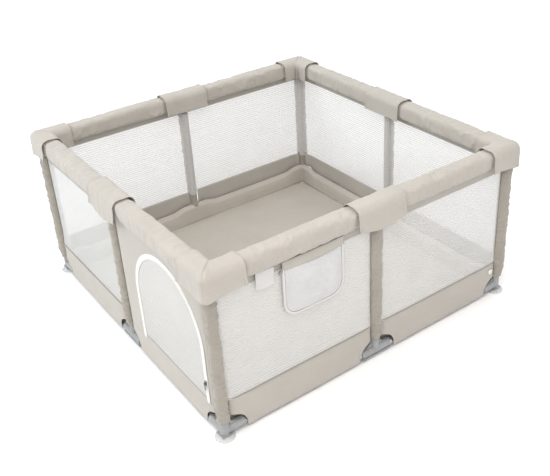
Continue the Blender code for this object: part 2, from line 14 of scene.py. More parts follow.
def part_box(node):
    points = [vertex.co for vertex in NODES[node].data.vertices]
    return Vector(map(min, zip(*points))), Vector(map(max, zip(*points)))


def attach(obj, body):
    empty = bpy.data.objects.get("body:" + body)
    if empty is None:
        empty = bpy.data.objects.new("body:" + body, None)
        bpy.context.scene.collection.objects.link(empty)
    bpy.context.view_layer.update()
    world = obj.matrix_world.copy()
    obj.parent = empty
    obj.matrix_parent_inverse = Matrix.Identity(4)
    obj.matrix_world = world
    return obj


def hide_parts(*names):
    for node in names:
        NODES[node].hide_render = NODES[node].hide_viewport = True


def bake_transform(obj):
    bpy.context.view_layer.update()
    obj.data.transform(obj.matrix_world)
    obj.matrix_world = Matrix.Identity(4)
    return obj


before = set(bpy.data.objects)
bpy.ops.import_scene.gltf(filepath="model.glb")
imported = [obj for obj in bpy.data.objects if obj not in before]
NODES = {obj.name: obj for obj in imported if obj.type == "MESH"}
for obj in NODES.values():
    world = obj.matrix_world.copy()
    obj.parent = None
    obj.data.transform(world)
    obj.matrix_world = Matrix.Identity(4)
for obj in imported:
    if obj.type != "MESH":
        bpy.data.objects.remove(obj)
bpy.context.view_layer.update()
SIDES = ("front", "right", "back", "left")
CORNERS = ("front_left", "front_right", "back_right", "back_left")

# ---- places read from the CAD

post_low, post_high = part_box("post_front_left")
AXIS = -(post_low.x + post_high.x) / 2
tube_low, tube_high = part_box("top_tube_front")
RAIL_Z = (tube_low.z + tube_high.z) / 2
pad_low, pad_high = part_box("rail_pad_front_2")
PAD_HALF = (pad_high.z - pad_low.z) / 2
PAD_START, PAD_END = pad_low.x, pad_high.x
cover_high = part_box("corner_cover_front_left")[1]
COVER_HALF = cover_high.z - RAIL_Z
ARM = cover_high.x + AXIS
MID_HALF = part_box("mid_cover_front")[1].x
bay_low, bay_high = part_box("door_surround")
CLOTH = -(bay_low.y + bay_high.y) / 2
HEM_Z = bay_low.z
panel_low, panel_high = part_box("door_panel")
PANEL_GAP = 0.003  # the CAD's gap between the door panel and its opening
ARCH_X = (panel_low.x + panel_high.x) / 2
ARCH_R = (panel_high.x - panel_low.x) / 2 + PANEL_GAP
SPRING_Z = panel_high.z + PANEL_GAP - ARCH_R
SILL_Z = panel_low.z - PANEL_GAP
CORNER_FOOT_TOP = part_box("corner_foot_front_left")[1].z
MID_FOOT_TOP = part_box("mid_foot_front")[1].z
pocket_low, pocket_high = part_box("toy_pocket")

# ---- sizes of the sewn parts

PAD_POWER = 3.5  # 2 would make a rail round and more makes it squarer
SLEEVE_R = 0.0215
CORNER_SLEEVE_R = (0.0225, 0.0182, 0.0232, 0.0225)
SLEEVE_INNER_R = 0.0143  # on its inner side a sleeve lies close on the tube
SLEEVE_DRAWN_R = 0.0186  # at its foot it is drawn in
SLEEVE_SHIFT = 0.0030  # a sleeve's middle lies this far outside its post's axis
SLEEVE_EDGE = 0.0205  # from a post's axis to where a panel meets its sleeve
EDGE_D = 0.5985  # from the pen's middle to where a panel meets a sleeve
NET_D = 0.6030  # from the pen's middle to the net
NET_EDGE = 0.0150  # the net goes on behind the sleeve's flap, to this distance from the post's axis
NET_EDGE_D = 0.5965
BAND_TOP = 0.139
STRIP_LOW = 0.509  # the strip of cloth that hangs from under the rail, with the net sewn to it
STRIP_TOP = 0.5405
NET_LOW, NET_HIGH = BAND_TOP - 0.004, STRIP_LOW + 0.004
CUT_TOP = MID_FOOT_TOP + 0.004  # the bands' cut-outs over the feet
CUT_HALF = 0.075
CUT_ROUND = 0.0525
HEM_OUT, HEM_IN = -0.0480, -0.0375  # heights of the covers' hems from the rail's middle
COVER_ROUND = 0.0245  # radius of a cover's long edges
ZIP_TAPE = 0.0076
COIL_STEP = 0.0024
MAT_HALF = AXIS - 0.0205
MAT_CUT = 0.030
POCKET_ROUND = 0.050
POCKET_DEPTH = 0.0145
MOUTH_HALF = 0.113  # half length of the strip over the pocket's mouth
LABEL_Y, LABEL_Z = -0.4235, 0.5375
LABEL_WIDTH, LABEL_LENGTH = 0.064, 0.058
LOOP_Y, LOOP_Z, LOOP_WIDTH = -0.3725, 0.512, 0.0110
STUD_Y, STUD_Z = 0.547, 0.107
STITCH, STITCH_STEP, STITCH_R = 0.0030, 0.0046, 0.00042

ROOT = "frame"
DOOR = "door"

# ---- mesh tools


def quarter(turns):
    return Matrix.Rotation(turns * math.pi / 2, 4, "Z")


def bell(x, width):
    return math.exp(-((x / width) ** 2))


def fade(x, length):
    return math.exp(-x / length)


def smooth_step(value):
    k = max(0.0, min(1.0, value))
    return k * k * (3 - 2 * k)


def wave(x, y, z, scale, seed=0.0):
    """Smooth noise from -1 to 1 at a point in metres."""
    return noise.noise(Vector((x * scale + seed, y * scale - 2 * seed, z * scale + 3 * seed)))


def build(name, points, faces, material, uv=None, matrix=None):
    """One object from points, faces and its material. uv holds one pair for each point."""
    mesh = bpy.data.meshes.new(name)
    mesh.from_pydata([tuple(p) for p in points], [], [tuple(f) for f in faces])
    if uv is not None:
        layer = mesh.uv_layers.new(name="UVMap")
        index = np.zeros(len(mesh.loops), np.int32)
        mesh.loops.foreach_get("vertex_index", index)
        layer.data.foreach_set("uv", np.asarray(uv, np.float32)[index].ravel())
    mesh.materials.append(material)
    mesh.shade_smooth()
    if matrix is not None:
        mesh.transform(matrix)
    mesh.update()
    obj = bpy.data.objects.new(name, mesh)
    bpy.context.scene.collection.objects.link(obj)
    return obj


def grid_faces(rows, columns, wrap=False, offset=0):
    faces = []
    for j in range(rows - 1):
        for i in range(columns if wrap else columns - 1):
            a = offset + j * columns + i
            b = offset + j * columns + (i + 1) % columns
            faces.append((a, b, b + columns, a + columns))
    return faces


def add_prism(faces, base, rings, sides):
    """Adds the side and end faces of a prism made of rings of points, the first at base."""
    faces += grid_faces(rings, sides, wrap=True, offset=base)
    faces.append(tuple(base + k for k in range(sides))[::-1])
    faces.append(tuple(base + (rings - 1) * sides + k for k in range(sides)))


def surface(rows, columns, place):
    """A grid of points: place(row's value, column's value) at each."""
    return np.array([[place(a, b) for b in columns] for a in rows], float)


def steps(count):
    return [j / (count - 1) for j in range(count)]


def grid(name, P, material, uv=None, wrap=False, matrix=None, flip=False):
    """A grid of points P[row, column] as one surface."""
    faces = grid_faces(*P.shape[:2], wrap)
    if flip:
        faces = [f[::-1] for f in faces]
    flat_uv = None if uv is None else uv.reshape(-1, 2)
    return build(name, P.reshape(-1, 3), faces, material, flat_uv, matrix)


def thicken(obj, thickness, offset=0.0):
    solid = obj.modifiers.new("cloth", "SOLIDIFY")
    solid.thickness = thickness
    solid.offset = offset


def weld(obj, distance):
    modifier = obj.modifiers.new("weld", "WELD")
    modifier.merge_threshold = distance


def dress(obj, body=ROOT):
    """Hangs a piece on the CAD body it rides on."""
    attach(obj, body)


def tubes(name, lines, radius, material, sides):
    """Round tubes along lines of points, as one object."""
    verts, faces = [], []
    for points in lines:
        line = [Vector(p) for p in points]
        base = len(verts)
        across = None
        for i, p in enumerate(line):
            along = (line[min(i + 1, len(line) - 1)] - line[max(i - 1, 0)]).normalized()
            if across is None:
                across = along.orthogonal().normalized()
            across = (across - along * across.dot(along)).normalized()
            other = along.cross(across)
            for k in range(sides):
                a = 2 * math.pi * k / sides
                verts.append(p + radius * (math.cos(a) * across + math.sin(a) * other))
        add_prism(faces, base, len(line), sides)
    obj = build(name, verts, faces, material)
    dress(obj)


def walk(points, step):
    """Evenly spaced points on a polyline with the direction at each."""
    line = np.array([tuple(p) for p in points], float)
    along = np.concatenate([[0], np.cumsum(np.linalg.norm(np.diff(line, axis=0), axis=1))])
    at = np.arange(step / 2, along[-1], step)
    place = np.stack([np.interp(at, along, line[:, k]) for k in range(3)], axis=1)
    ahead = np.stack([np.interp(at + step / 4, along, line[:, k]) for k in range(3)], axis=1)
    way = ahead - place
    way /= np.maximum(np.linalg.norm(way, axis=1), 1e-9)[:, None]
    return place, way


def stitches(name, lines, body=ROOT):
    """Thread stitches along lines of (points, outward) as one piece. outward lifts them off."""
    verts, faces = [], []
    for points, outward in lines:
        lift = np.array(outward, float)
        for place, way in zip(*walk(points, STITCH_STEP)):
            side = np.cross(way, lift)
            size = np.linalg.norm(side)
            if size < 0.2:  # the line runs nearly straight outward
                continue
            side /= size
            up = np.cross(side, way)
            add_prism(faces, len(verts), 4, 5)
            for part, thick in ((-0.5, 0.35), (-0.28, 1.0), (0.28, 1.0), (0.5, 0.35)):
                centre = place + way * part * STITCH + up * (STITCH_R * (thick - 0.6))
                for k in range(5):
                    a = 2 * math.pi * k / 5
                    verts.append(centre + STITCH_R * thick * (math.cos(a) * side + math.sin(a) * up))
    dress(build(name, verts, faces, THREAD), body)


# ---- materials


def new_material(name):
    material = bpy.data.materials.new(name)
    material.use_nodes = True
    return material, material.node_tree, material.node_tree.nodes["Principled BSDF"]


def set_inputs(made, **values):
    """Sets a node's sockets by name, with _ for a space."""
    for key, value in values.items():
        made.inputs[key.replace("_", " ")].default_value = value


def maths(tree, operation, *values):
    made = tree.nodes.new("ShaderNodeMath")
    made.operation = operation
    for socket, value in zip(made.inputs, values):
        if isinstance(value, (int, float)):
            socket.default_value = value
        else:
            tree.links.new(value, socket)
    return made.outputs[0]


def remap(tree, value, low, high, to_low, to_high):
    made = tree.nodes.new("ShaderNodeMapRange")
    set_inputs(made, From_Min=low, From_Max=high, To_Min=to_low, To_Max=to_high)
    tree.links.new(value, made.inputs["Value"])
    return made.outputs["Result"]


def speckle(tree, coords, scale, detail=2.0, stretch=(1.0, 1.0, 1.0)):
    mapping = tree.nodes.new("ShaderNodeMapping")
    set_inputs(mapping, Scale=stretch)
    tree.links.new(coords, mapping.inputs["Vector"])
    made = tree.nodes.new("ShaderNodeTexNoise")
    set_inputs(made, Scale=scale, Detail=detail)
    tree.links.new(mapping.outputs["Vector"], made.inputs["Vector"])
    return made.outputs["Fac"]


def tint(tree, shader, factor, dark, light):
    made = tree.nodes.new("ShaderNodeMix")
    made.data_type = "RGBA"
    made.inputs[6].default_value = (*dark, 1.0)
    made.inputs[7].default_value = (*light, 1.0)
    tree.links.new(factor, made.inputs[0])
    tree.links.new(made.outputs[2], shader.inputs["Base Color"])


def roughen(tree, shader, value, high, to_low, to_high, low=0.3):
    tree.links.new(remap(tree, value, low, high, to_low, to_high), shader.inputs["Roughness"])


def bump(tree, shader, height, strength, distance):
    made = tree.nodes.new("ShaderNodeBump")
    set_inputs(made, Strength=strength, Distance=distance)
    tree.links.new(height, made.inputs["Height"])
    tree.links.new(made.outputs["Normal"], shader.inputs["Normal"])


def on_object(tree):
    return tree.nodes.new("ShaderNodeTexCoord").outputs["Object"]


def woven(name, light, dark, thread=1500.0, sheen=0.25):
    """Plain-woven cloth: threads along each axis, slubs, and a slow change of tone."""
    material, tree, shader = new_material(name)
    coords = on_object(tree)
    thin = 0.06
    threads = [
        speckle(tree, coords, thread, stretch=stretch)
        for stretch in ((thin, 1.0, 1.0), (1.0, thin, 1.0), (1.0, 1.0, thin))
    ]
    total = maths(tree, "ADD", maths(tree, "ADD", threads[0], threads[1]), threads[2])
    weave = remap(tree, total, 1.15, 1.85, 0.0, 1.0)
    tone = speckle(tree, coords, 9.0, 3.0)
    fibre = speckle(tree, coords, 320.0, 3.0)
    shade = maths(tree, "ADD", maths(tree, "MULTIPLY", weave, 0.55), remap(tree, tone, 0.3, 0.7, 0.0, 0.3))
    shade = maths(tree, "ADD", shade, remap(tree, fibre, 0.3, 0.7, 0.0, 0.15))
    tint(tree, shader, shade, dark, light)
    roughen(tree, shader, tone, 0.7, 0.76, 0.88)
    set_inputs(shader, Sheen_Weight=sheen, Sheen_Roughness=0.5, Specular_IOR_Level=0.25)
    bump(tree, shader, weave, 0.5, 0.00025)
    return material


def net(name, colour, cover, rib):
    """Knitted net: rows of staggered holes, with a thicker course every few rows."""
    hole_width, hole_height, course_height = 0.0034, 0.0026, 0.0092
    material, tree, shader = new_material(name)
    uv = tree.nodes.new("ShaderNodeUVMap")
    uv.uv_map = "UVMap"
    split = tree.nodes.new("ShaderNodeSeparateXYZ")
    tree.links.new(uv.outputs["UV"], split.inputs[0])
    x = maths(tree, "MULTIPLY", split.outputs["X"], 1 / hole_width)
    y = maths(tree, "MULTIPLY", split.outputs["Y"], 1 / hole_height)
    shift = maths(tree, "MULTIPLY", maths(tree, "MODULO", maths(tree, "FLOOR", y), 2.0), 0.5)
    squares = []
    for value in (maths(tree, "ADD", x, shift), y):
        off = maths(tree, "ABSOLUTE", maths(tree, "SUBTRACT", maths(tree, "FRACT", value), 0.5))
        squares.append(maths(tree, "POWER", off, 2.0))
    far = maths(tree, "SQRT", maths(tree, "ADD", *squares))
    hole = remap(tree, far, cover - 0.05, cover + 0.05, 1.0, 0.0)
    course = maths(tree, "FRACT", maths(tree, "MULTIPLY", split.outputs["Y"], 1 / course_height))
    near = maths(tree, "ABSOLUTE", maths(tree, "SUBTRACT", course, 0.5))
    ribbed = remap(tree, near, 0.08, 0.26, 1.0, 0.0)
    slub = speckle(tree, uv.outputs["UV"], 60.0, stretch=(0.15, 1.0, 1.0))
    rib_share = maths(tree, "MULTIPLY", ribbed, remap(tree, slub, 0.3, 0.6, rib * 0.85, rib))
    open_share = maths(tree, "MULTIPLY", hole, maths(tree, "SUBTRACT", 1.0, rib_share))
    tree.links.new(maths(tree, "SUBTRACT", 1.0, open_share), shader.inputs["Alpha"])
    tone = speckle(tree, uv.outputs["UV"], 14.0)
    tint(tree, shader, tone, tuple(c * 0.90 for c in colour), colour)
    roughen(tree, shader, tone, 0.7, 0.7, 0.85)
    set_inputs(shader, Specular_IOR_Level=0.2)
    return material


def moulded(name, light, dark, roughness):
    """Injection-moulded plastic with a fine spark-eroded grain and scuffs."""
    material, tree, shader = new_material(name)
    coords = on_object(tree)
    scuff = speckle(tree, coords, 38.0, 5.0)
    tint(tree, shader, remap(tree, scuff, 0.35, 0.65, 0.0, 1.0), dark, light)
    roughen(tree, shader, scuff, 0.7, roughness, roughness + 0.16, low=0.35)
    bump(tree, shader, speckle(tree, coords, 900.0), 0.25, 0.0002)
    return material


def brushed(name, light, dark, roughness=0.3):
    """Metal with drawing lines and a faint tarnish."""
    material, tree, shader = new_material(name)
    coords = on_object(tree)
    lines = speckle(tree, coords, 700.0, stretch=(1.0, 1.0, 0.05))
    tint(tree, shader, speckle(tree, coords, 45.0, 4.0), dark, light)
    roughen(tree, shader, lines, 0.7, roughness - 0.06, roughness + 0.12)
    set_inputs(shader, Metallic=1.0)
    bump(tree, shader, lines, 0.15, 0.0001)
    return material


def clear_rubber(name):
    material, tree, shader = new_material(name)
    cloud = speckle(tree, on_object(tree), 60.0, 4.0)
    tint(tree, shader, cloud, (0.66, 0.67, 0.67), (0.78, 0.79, 0.79))
    roughen(tree, shader, cloud, 0.7, 0.22, 0.38)
    set_inputs(shader, Transmission_Weight=0.35, IOR=1.45)
    return material


BEIGE = woven("beige_canvas", (0.440, 0.414, 0.376), (0.335, 0.314, 0.282))
SLEEVE_CLOTH = woven("sleeve_canvas", (0.345, 0.318, 0.278), (0.235, 0.214, 0.184))
BEIGE_DARK = woven("beige_binding", (0.30, 0.27, 0.235), (0.22, 0.198, 0.17))
# painted shadow: a near-black cloth that stands for the shade in the gap between a sleeve and the door bay
PAINTED_GAP_SHADOW = woven("painted_gap_shadow", (0.12, 0.095, 0.075), (0.075, 0.06, 0.048))
MAT_CLOTH = woven("mat_canvas", (0.500, 0.470, 0.422), (0.400, 0.374, 0.334), thread=1100.0, sheen=0.1)
NET_WHITE = net("white_net", (0.66, 0.66, 0.655), 0.37, 0.55)
WHITE_TAPE = woven("white_tape", (0.80, 0.80, 0.78), (0.66, 0.66, 0.64), thread=2200.0)
POCKET_CLOTH = woven("pocket_cloth", (0.63, 0.63, 0.625), (0.36, 0.36, 0.36))
LABEL_CLOTH = woven("label_satin", (0.57, 0.56, 0.55), (0.48, 0.47, 0.46), thread=2600.0)
POCKET_TAPE = woven("pocket_tape", (0.62, 0.615, 0.60), (0.48, 0.475, 0.465), thread=2200.0)
GREY_CLOTH = woven("grey_webbing", (0.30, 0.30, 0.29), (0.20, 0.20, 0.20), thread=1400.0)
THREAD = woven("thread", (0.56, 0.52, 0.46), (0.44, 0.41, 0.36), thread=3000.0)
WHITE_COIL = moulded("white_coil", (0.82, 0.82, 0.81), (0.72, 0.72, 0.71), 0.35)
WHITE_SNAP = moulded("white_snap", (0.80, 0.80, 0.79), (0.70, 0.70, 0.69), 0.30)
GREY_PLASTIC = moulded("grey_plastic", (0.30, 0.305, 0.31), (0.245, 0.25, 0.255), 0.38)
STEEL = brushed("drawn_steel", (0.62, 0.62, 0.63), (0.50, 0.50, 0.51))
ZIP_METAL = brushed("zip_metal", (0.30, 0.30, 0.31), (0.20, 0.20, 0.21), 0.35)
RUBBER = clear_rubber("clear_rubber")

# ---- padded rails


def pad_section(half, count=44):
    """Points round a rounded square with softly bowed sides, from the middle of its underside."""
    points = []
    for i in range(count):
        a = -math.pi / 2 + 2 * math.pi * i / count
        c, s = math.cos(a), math.sin(a)
        r = half / (abs(c) ** PAD_POWER + abs(s) ** PAD_POWER) ** (1 / PAD_POWER)
        points.append((r * c, r * s))
    return points


def pad(name, start, end, seed, matrix):
    """A foam sleeve in its fabric, blown up against its seams so that it creases."""

    def place(k, spot):
        u = start + (end - start) * k
        o, z = spot
        # the covers' ends press the pad in
        beside = min(abs(abs(u) - MID_HALF), abs(abs(u) - (AXIS - ARM)))
        pinch = 0.0030 * bell(beside, 0.0085)
        swell = 0.0009 * wave(u, o, z, 16.0, seed) + 0.0006 * wave(u, o, z, 48.0, seed)
        # creases that run round the rail
        crease = 0.0011 * wave(u * 3.2, 0.4 * o, 0.4 * z, 24.0, seed + 5.0)
        grow = 1 + (swell + crease - pinch) / PAD_HALF
        return u, -AXIS - o * grow, RAIL_Z + z * grow

    P = surface(steps(96), pad_section(PAD_HALF - 0.0018), place)
    rows, count = P.shape[:2]
    faces = grid_faces(rows, count, wrap=True)
    faces.append(tuple(range(count)))
    faces.append(tuple(range((rows - 1) * count, rows * count))[::-1])
    obj = build(name, P.reshape(-1, 3), faces, BEIGE)
    seam = {j * count + i for j in range(rows) for i in (0, 1, count - 1)}
    ends = {*range(2 * count), *range((rows - 2) * count, rows * count)}
    blow(obj, sorted(ends | seam))
    obj.data.transform(matrix)
    modifier = obj.modifiers.new("smooth", "SUBSURF")
    modifier.levels = modifier.render_levels = 1
    return obj


def blow(obj, pinned, cap=0.0024, pressure=3.0, frames=16):
    """Runs a short cloth simulation with air pressure, then keeps its shape, capped in distance."""
    scene = bpy.context.scene
    group = obj.vertex_groups.new(name="pin")
    group.add(pinned, 1.0, "REPLACE")
    start = np.zeros(len(obj.data.vertices) * 3, np.float32)
    obj.data.vertices.foreach_get("co", start)
    modifier = obj.modifiers.new("cloth", "CLOTH")
    cloth = modifier.settings
    cloth.quality = 4
    cloth.mass = 0.2
    cloth.tension_stiffness = 12
    cloth.compression_stiffness = 12
    cloth.shear_stiffness = 4
    cloth.bending_stiffness = 0.3
    cloth.use_pressure = True
    cloth.uniform_pressure_force = pressure
    cloth.vertex_group_mass = "pin"
    cloth.shrink_min = -0.035
    cloth.effector_weights.gravity = 0
    modifier.collision_settings.use_collision = False
    modifier.point_cache.frame_start = 1
    modifier.point_cache.frame_end = frames
    for number in range(1, frames + 1):
        scene.frame_set(number)
    graph = bpy.context.evaluated_depsgraph_get()
    done = obj.evaluated_get(graph).to_mesh()
    end = np.zeros(len(done.vertices) * 3, np.float32)
    done.vertices.foreach_get("co", end)
    obj.evaluated_get(graph).to_mesh_clear()
    obj.modifiers.remove(modifier)
    scene.frame_set(1)
    move = (end - start).reshape(-1, 3)
    size = np.linalg.norm(move, axis=1)
    move *= np.minimum(1.0, cap / np.maximum(size, 1e-9))[:, None]
    obj.data.vertices.foreach_set("co", (start.reshape(-1, 3) + move).astype(np.float32).ravel())
    obj.vertex_groups.clear()
    obj.data.update()


def add_pads():
    for turn, side in enumerate(SIDES):
        for number, (start, end) in ((1, (-PAD_END, -PAD_START)), (2, (PAD_START, PAD_END))):
            obj = pad(f"rail_{side}_{number}", start, end, 3.1 * turn + 1.7 * number, quarter(turn))
            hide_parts(f"rail_pad_{side}_{number}")
            dress(obj)


# ---- covers over the joints


def cover_section(count=46):
    """(offset, height) from the outer hem, over the top, to the inner hem."""
    h, r = COVER_HALF, COVER_ROUND
    line = [(h, HEM_OUT)]
    for side in (0, 1):
        for i in range(13):
            a = math.pi / 2 * (side + i / 12)
            line.append(((-h + r if side else h - r) + r * math.cos(a), h - r + r * math.sin(a)))
    line.append((-h, HEM_IN))
    pts = np.array(line)
    along = np.concatenate([[0], np.cumsum(np.linalg.norm(np.diff(pts, axis=0), axis=1))])
    hem = np.array([0.0, 0.0012, 0.0026, 0.0040, 0.0058, 0.0080])
    middle = np.linspace(0.0105, along[-1] - 0.0105, count - 2 * len(hem))
    at = np.concatenate([hem, middle, along[-1] - hem[::-1]])
    return np.stack([np.interp(at, along, pts[:, k]) for k in range(2)], axis=1)


END_STEPS = np.array([0.0, 0.0014, 0.0030, 0.0046, 0.0060, 0.0074, 0.0090, 0.0110, 0.0140, 0.0180])


def flare(e):
    """How far a cover stands off at a distance e from its end: a mouth, then a sewn groove."""
    return 0.0038 * fade(e, 0.010) - 0.0016 * bell(e - 0.0074, 0.0013)


def zones(o, z):
    """Shares at a point of a cover's section: outward, up its rounded top, down its side, down its outer hem."""
    return (
        max(-1.0, min(1.0, o / COVER_HALF)),
        max(0.0, (z - (COVER_HALF - COVER_ROUND)) / COVER_ROUND),
        max(0.0, (COVER_HALF - COVER_ROUND - z) / 0.06),
        max(0.0, 1 - (z + 0.048) / 0.03) if o > 0 else 0.0,
    )


def corner_grid(seed):
    section = cover_section()
    turned = [math.radians(270 - 90 * i / 17) for i in range(1, 17)]
    rows = []
    for o, z in section:
        radius = 0.0135 + 0.0075 * o / COVER_HALF
        corner = -o + radius
        e = np.concatenate([END_STEPS, np.linspace(END_STEPS[-1], ARM - corner, 15)[1:]])
        row = [(ARM - d, -o, z, d) for d in e]
        row += [(corner + radius * math.cos(a), corner + radius * math.sin(a), z, 1.0) for a in turned]
        row += [(-o, ARM - d, z, d) for d in e[::-1]]
        rows.append(row)
    P = np.array(rows)
    count = P.shape[1]
    for j, (o, z0) in enumerate(section):
        out, up, hang, low = zones(o, z0)
        for i in range(count):
            x, y, z, e = P[j, i]
            across = (x - y) / math.sqrt(2)
            # which way is out, in plan: it turns through the middle columns
            a = math.radians(270 - 90 * max(0.0, min(1.0, (i - (count / 2 - 8)) / 16)))
            push = flare(e) * (0.35 + 0.65 * hang * 1.4)
            drag = 0.0016 * wave(x * 1.6, y * 1.6, z * 0.7, 34.0, seed) + 0.0008 * wave(x, y, z, 90.0, seed)
            side = (push + drag * (1 - up)) * (1.0 if o > 0 else -1.0) * min(1.0, abs(out) * 1.6)
            side += low * (0.0022 + 0.0016 * wave(x, y, 1.0, 32.0, seed))
            # the mitre seam over the top, with a lip at each side
            groove = bell(across, 0.0024)
            rise = up * (push * 0.22 + drag - 0.0020 * groove + 0.0014 * bell(abs(across) - 0.007, 0.004))
            # the hem dips towards the corner
            rise += low * (0.011 * (1 - bell(across, 0.05)) + 0.0012 * wave(x, y, 0.0, 40.0, seed))
            tuck = 0.0
            if abs(across) < 0.02 and out > 0.5:
                tuck = 0.0010 * groove * (1 - up)
            elif abs(across) < 0.02 and out < 0:
                deep = min(1.0, -out * 1.3) * (0.35 + 0.65 * min(1.0, hang * 2.2))
                ridge = 0.0085 * bell(across, 0.0026) - 0.0060 * bell(abs(across) - 0.0068, 0.0026)
                tuck = ridge * deep / math.sqrt(2)
            P[j, i, :3] = (x + math.cos(a) * side + tuck, y + math.sin(a) * side + tuck, z + rise)
    return P[:, :, :3]


def mid_grid(seed):
    half = MID_HALF

    def place(spot, x):
        o, z = spot
        out, up, hang, low = zones(o, z)
        push = flare(min(x + half, half - x)) * (0.35 + 0.9 * hang)
        drag = 0.0018 * wave(x * 1.9, o, z * 0.5, 30.0, seed) + 0.0009 * wave(x, o, z, 85.0, seed)
        sag = 0.0022 * bell(x, 0.05) * hang
        rise = min(1.0, abs(x - 0.008) / half) ** 1.7
        y = -o - (push + drag * (1 - up) + sag) * (1 if o > 0 else -1) * min(1.0, abs(out) * 1.6)
        y -= low * (0.0020 + 0.0014 * wave(x, 0.3, 0, 36.0, seed))
        z += (push * 0.22 + drag) * up - 0.0012 * up * bell(x, 0.03)
        z += low * (0.0115 * rise - 0.006 * (1 - rise) + 0.001 * wave(x, 0, 0, 40.0, seed))
        return x, y, z

    middle = np.linspace(-half + 0.024, half - 0.024, 26)
    return surface(cover_section(), [*(END_STEPS - half), *middle, *(half - END_STEPS[::-1])], place)


def placed(points, matrix):
    return [matrix @ Vector(p) for p in points]


def add_covers():
    edges, sewn = [], []
    for turn in range(4):
        for kind, spot, make, x, more in (
            ("corner", CORNERS[turn], corner_grid, -AXIS, 0.0),
            ("mid", SIDES[turn], mid_grid, 0.0, 7.0),
        ):
            P = make(11.0 + 2.3 * turn + more)
            place = quarter(turn) @ Matrix.Translation((x, -AXIS, RAIL_Z))
            obj = grid(f"{kind}_cover_cloth_{spot}", P, BEIGE, matrix=place, flip=(kind == "mid"))
            thicken(obj, 0.0018)
            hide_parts(f"{kind}_cover_{spot}")
            dress(obj)
            edges += [placed(line, place) for line in (P[:, 0], P[:, -1], P[0], P[-1])]
            # one seam by each end, in three lengths: outer side, top, inner side
            for column in (5, P.shape[1] - 6):
                for first, last in ((0, 16), (14, 32), (30, P.shape[0])):
                    piece = P[first:last, column]
                    along = np.gradient(piece, axis=0).mean(axis=0)
                    out = -np.cross(along, P[22, column - 1] - P[22, column + 1])
                    out /= np.linalg.norm(out)
                    middle = piece.mean(axis=0)
                    away = (0.0, middle[1] if kind == "mid" else 0.0, middle[2])
                    if np.dot(out, away) < 0:
                        out = -out
                    sewn.append((placed(piece + out * 0.0012, place), place.to_3x3() @ Vector(out)))
    tubes("cover_piping", edges, 0.00135, BEIGE, 7)
    stitches("cover_stitches", sewn)


# ---- posts' sleeves


def sleeve(name, low, radius, outward, span, seed, matrix):
    """A post's fabric sleeve: a flap that stands off outside, close on the tube inside, drawn in at the foot."""
    high = STRIP_TOP

    def place(k, turn):
        z = low + (high - low) * k
        c, s = math.cos(2 * math.pi * turn), math.sin(2 * math.pi * turn)
        drawn = bell(z - low, 0.016)
        roll = 0.0010 * bell(z - low - 0.0016, 0.0018)
        facing = c * outward[0] + s * outward[1]
        full = smooth_step((facing - span[0]) / (span[1] - span[0]))
        ridge = max(0.0, 1 - 4.2 * abs(wave(c * 0.012, s * 0.012, z, 42.0, seed)))
        gather = 0.0012 * wave(c * 0.006, s * 0.006, z, 95.0, seed)
        gather *= 0.5 + fade(z - low, 0.06) + fade(high - z, 0.09)
        slack = 0.0010 * wave(c * 0.02, s * 0.02, z, 22.0, seed) + 0.0030 * ridge
        r = SLEEVE_INNER_R + (radius - SLEEVE_INNER_R) * full
        r += (gather + slack) * (0.15 + 0.85 * full) + roll + (SLEEVE_DRAWN_R - r) * drawn
        off = SLEEVE_SHIFT * (1 - drawn) * full
        return r * c + outward[0] * off, r * s + outward[1] * off, z

    P = surface(steps(170), [i / 40 for i in range(40)], place)
    obj = grid(name, P, SLEEVE_CLOTH, wrap=True, matrix=matrix)
    thicken(obj, 0.0011, -1.0)
    dress(obj)


def net_wrap(name, facing, matrix):
    """The net goes on round the inner side of a post, from one bay to the next."""
    reach = facing
    radius = SLEEVE_INNER_R + 0.0017
    heights = [NET_LOW + (NET_HIGH - NET_LOW) * k for k in steps(40)]
    angles = [facing + reach * (2 * k - 1) for k in steps(17)]

    def place(z, a):
        c, s = math.cos(a), math.sin(a)
        r = radius + 0.0004 * wave(c * 0.02, s * 0.02, z, 30.0, facing)
        return r * c, r * s, z

    uv = surface(heights, angles, lambda z, a: (radius * a, z))
    obj = grid(name, surface(heights, angles, place), NET_WHITE, uv=uv, matrix=matrix)
    dress(obj)


def add_sleeves():
    diagonal = math.sqrt(0.5)
    for turn in range(4):
        for spot, x, foot, radius, outward, span, seed, facing in (
            (
                CORNERS[turn], -AXIS, CORNER_FOOT_TOP, CORNER_SLEEVE_R[turn],
                (-diagonal, -diagonal), (-0.682, -0.574), 20 + turn, math.pi / 4,
            ),
            (
                f"mid_{SIDES[turn]}", 0.0, MID_FOOT_TOP, SLEEVE_R,
                (0.0, -1.0), (0.05, 0.25), 30 + turn, math.pi / 2,
            ),
        ):  # fmt: skip
            matrix = quarter(turn) @ Matrix.Translation((x, -AXIS, 0.0))
            sleeve(f"post_sleeve_{spot}", foot + 0.0016, radius, outward, span, seed, matrix)
            net_wrap(f"net_wrap_{spot}", facing, matrix)


# ---- panels between the posts


def inset(u, near, far, depth, edge=EDGE_D):
    """Distance of a panel from the middle of the pen: it turns in to the sleeves at its sides."""
    return depth + (edge - depth) * fade(max(0.0, min(u - near, far - u)), 0.0085)


def bay_columns(near, far, count, extra=()):
    edge = [0.0, 0.002, 0.0045, 0.0075, 0.0115, 0.017, 0.024, 0.033]
    middle = np.linspace(near + 0.045, far - 0.045, count)
    columns = [near + e for e in edge] + list(middle) + [far - e for e in edge] + list(extra)
    return np.array(sorted(columns))


def cut_height(s):
    """Height of the foot cut-out at a distance s from a post's axis."""
    s = abs(s)
    flat = CUT_HALF - CUT_ROUND
    if s <= flat:
        return CUT_TOP
    if s >= CUT_HALF:
        return HEM_Z
    return CUT_TOP - CUT_ROUND + math.sqrt(max(0.0, CUT_ROUND**2 - (s - flat) ** 2))


